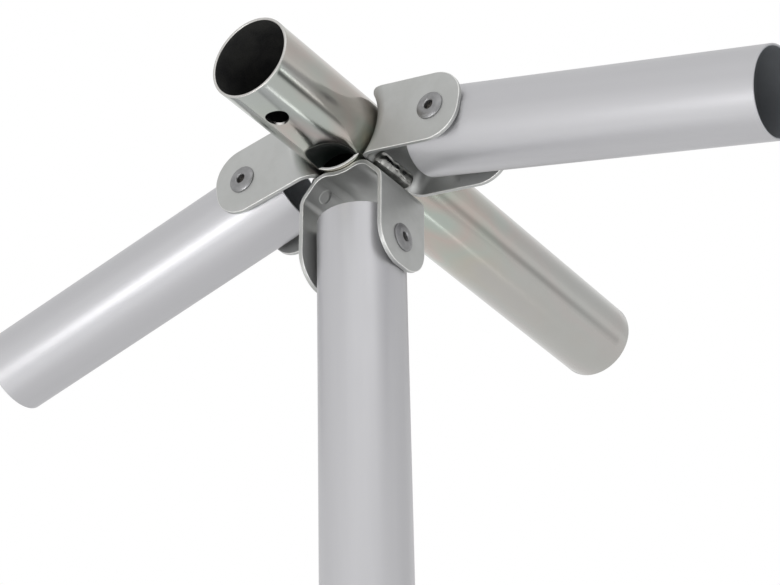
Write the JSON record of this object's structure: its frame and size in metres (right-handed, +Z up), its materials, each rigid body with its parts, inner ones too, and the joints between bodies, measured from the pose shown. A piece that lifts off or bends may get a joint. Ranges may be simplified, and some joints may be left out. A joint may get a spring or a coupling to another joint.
{
  "type": "cross tube connector",
  "caption": "Ridge joint of a folding tube frame: a plated steel ridge tube with welded fork straps, and rafter and leg tubes that swing on blind rivets.",
  "frame": {"origin": "on the ridge tube's axis, where the forks meet it", "axes": "+Y along the ridge towards its long end, +Z up, +X across, towards the right rafter"},
  "size_m": [0.4024, 0.2805, 0.2583],
  "materials": {
    "plated_tube": "bright zinc plate with a faint yellow tint",
    "plated_strap": "satin zinc plate",
    "weld": "bright plated weld bead",
    "anodised_tube": "satin anodised, drawn lengthwise",
    "rivet": "dull grey",
    "mandrel": "dark snapped end"
  },
  "bodies": {
    "hub": {"ridge_tube": "plated_tube", "left_fork": "plated_strap", "right_fork": "plated_strap", "leg_fork": "plated_strap", "left_weld": "weld", "right_weld": "weld", "left_front_rivet": "rivet", "left_rear_rivet": "rivet", "right_front_rivet": "rivet", "right_rear_rivet": "rivet", "leg_left_rivet": "rivet", "leg_right_rivet": "rivet", "left_front_mandrel": "mandrel", "left_rear_mandrel": "mandrel", "right_front_mandrel": "mandrel", "right_rear_mandrel": "mandrel", "leg_left_mandrel": "mandrel", "leg_right_mandrel": "mandrel"},
    "left_rafter": {"left_rafter_tube": "anodised_tube"},
    "right_rafter": {"right_rafter_tube": "anodised_tube"},
    "leg": {"leg_tube": "anodised_tube"}
  },
  "joints": [
    {"name": "left_rafter_swing", "type": "hinge", "parent": "hub", "child": "left_rafter", "pos_m": [-0.04924, 0, -0.00868], "axis": [0, -1, 0], "range_deg": [-105, 74]},
    {"name": "right_rafter_swing", "type": "hinge", "parent": "hub", "child": "right_rafter", "pos_m": [0.04924, 0, -0.00868], "axis": [0, 1, 0], "range_deg": [-105, 74]},
    {"name": "leg_swing", "type": "hinge", "parent": "hub", "child": "leg", "pos_m": [0, 0, -0.0527], "axis": [1, 0, 0], "range_deg": [-92, 87.5]}
  ]
}
